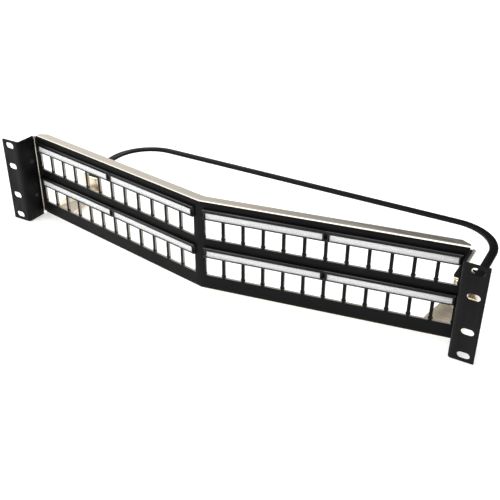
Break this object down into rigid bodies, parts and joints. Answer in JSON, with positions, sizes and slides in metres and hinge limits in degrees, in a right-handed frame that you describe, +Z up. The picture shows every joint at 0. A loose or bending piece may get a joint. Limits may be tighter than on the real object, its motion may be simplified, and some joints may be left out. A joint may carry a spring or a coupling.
{
  "type": "rack patch panel",
  "caption": "Angled rack-mount patch panel with rows of empty jack ports, clear label windows, recessed ears and a rear cable bar.",
  "frame": {"origin": "centre of the rack slot pattern, on the rear (mounting) face of the ears", "axes": "+X to the right end seen from the front, +Y to the rear of the rack, +Z up"},
  "size_m": [0.4826, 0.2049, 0.0872],
  "materials": {
    "chassis_sheet": "black satin coat on the front of the face, bare zinc plating on flanges, bends, cut edges and back",
    "black_steel": "satin black powder coat",
    "black_rivet": "satin black",
    "plated_bracket": "warm grey zinc plating",
    "plated_rivet": "zinc plating",
    "black_bar": "satin black powder coat",
    "plated_screw": "zinc plating",
    "frame_plastic": "moulded black, slight sheen on edges",
    "label_paper": "plain white card",
    "clear_cover": "clear polycarbonate"
  },
  "bodies": {
    "root": {"chassis_top_flange": "chassis_sheet", "chassis_top_rail": "chassis_sheet", "chassis_middle_rail": "chassis_sheet", "chassis_bottom_rail": "chassis_sheet", "chassis_bottom_flange": "chassis_sheet", "chassis_upper_posts": "chassis_sheet", "chassis_lower_posts": "chassis_sheet", "chassis_left_end": "chassis_sheet", "chassis_right_end": "chassis_sheet", "left_ear_bracket": "black_steel", "right_ear_bracket": "black_steel", "left_ear_rivets": "black_rivet", "right_ear_rivets": "black_rivet", "left_rear_bracket": "plated_bracket", "right_rear_bracket": "plated_bracket", "left_bracket_rivets": "plated_rivet", "right_bracket_rivets": "plated_rivet", "rear_cable_bar": "black_bar", "bar_screws": "plated_screw", "bar_nuts": "plated_screw", "upper_label_frame_1": "frame_plastic", "upper_label_frame_2": "frame_plastic", "upper_label_frame_3": "frame_plastic", "upper_label_frame_4": "frame_plastic", "lower_label_frame_1": "frame_plastic", "lower_label_frame_2": "frame_plastic", "lower_label_frame_3": "frame_plastic", "lower_label_frame_4": "frame_plastic", "upper_paper_label_1": "label_paper", "upper_paper_label_2": "label_paper", "upper_paper_label_3": "label_paper", "upper_paper_label_4": "label_paper", "lower_paper_label_1": "label_paper", "lower_paper_label_2": "label_paper", "lower_paper_label_3": "label_paper", "lower_paper_label_4": "label_paper"},
    "upper_label_cover_1": {"upper_label_cover_1": "clear_cover"},
    "upper_label_cover_2": {"upper_label_cover_2": "clear_cover"},
    "upper_label_cover_3": {"upper_label_cover_3": "clear_cover"},
    "upper_label_cover_4": {"upper_label_cover_4": "clear_cover"},
    "lower_label_cover_1": {"lower_label_cover_1": "clear_cover"},
    "lower_label_cover_2": {"lower_label_cover_2": "clear_cover"},
    "lower_label_cover_3": {"lower_label_cover_3": "clear_cover"},
    "lower_label_cover_4": {"lower_label_cover_4": "clear_cover"}
  },
  "joints": [
    {"name": "upper_label_cover_1_flip", "type": "hinge", "parent": "root", "child": "upper_label_cover_1", "pos_m": [-0.16333, 0.00972, 0.0341], "axis": [-0.9848, 0.1736, 0], "range_deg": [0, 95]},
    {"name": "upper_label_cover_2_flip", "type": "hinge", "parent": "root", "child": "upper_label_cover_2", "pos_m": [-0.0575, -0.00894, 0.0341], "axis": [-0.9848, 0.1736, 0], "range_deg": [0, 95]},
    {"name": "upper_label_cover_3_flip", "type": "hinge", "parent": "root", "child": "upper_label_cover_3", "pos_m": [0.0575, -0.00894, 0.0341], "axis": [-0.9848, -0.1736, 0], "range_deg": [0, 95]},
    {"name": "upper_label_cover_4_flip", "type": "hinge", "parent": "root", "child": "upper_label_cover_4", "pos_m": [0.16333, 0.00972, 0.0341], "axis": [-0.9848, -0.1736, 0], "range_deg": [0, 95]},
    {"name": "lower_label_cover_1_flip", "type": "hinge", "parent": "root", "child": "lower_label_cover_1", "pos_m": [-0.16333, 0.00972, -0.0029], "axis": [-0.9848, 0.1736, 0], "range_deg": [0, 95]},
    {"name": "lower_label_cover_2_flip", "type": "hinge", "parent": "root", "child": "lower_label_cover_2", "pos_m": [-0.0575, -0.00894, -0.0029], "axis": [-0.9848, 0.1736, 0], "range_deg": [0, 95]},
    {"name": "lower_label_cover_3_flip", "type": "hinge", "parent": "root", "child": "lower_label_cover_3", "pos_m": [0.0575, -0.00894, -0.0029], "axis": [-0.9848, -0.1736, 0], "range_deg": [0, 95]},
    {"name": "lower_label_cover_4_flip", "type": "hinge", "parent": "root", "child": "lower_label_cover_4", "pos_m": [0.16333, 0.00972, -0.0029], "axis": [-0.9848, -0.1736, 0], "range_deg": [0, 95]}
  ]
}
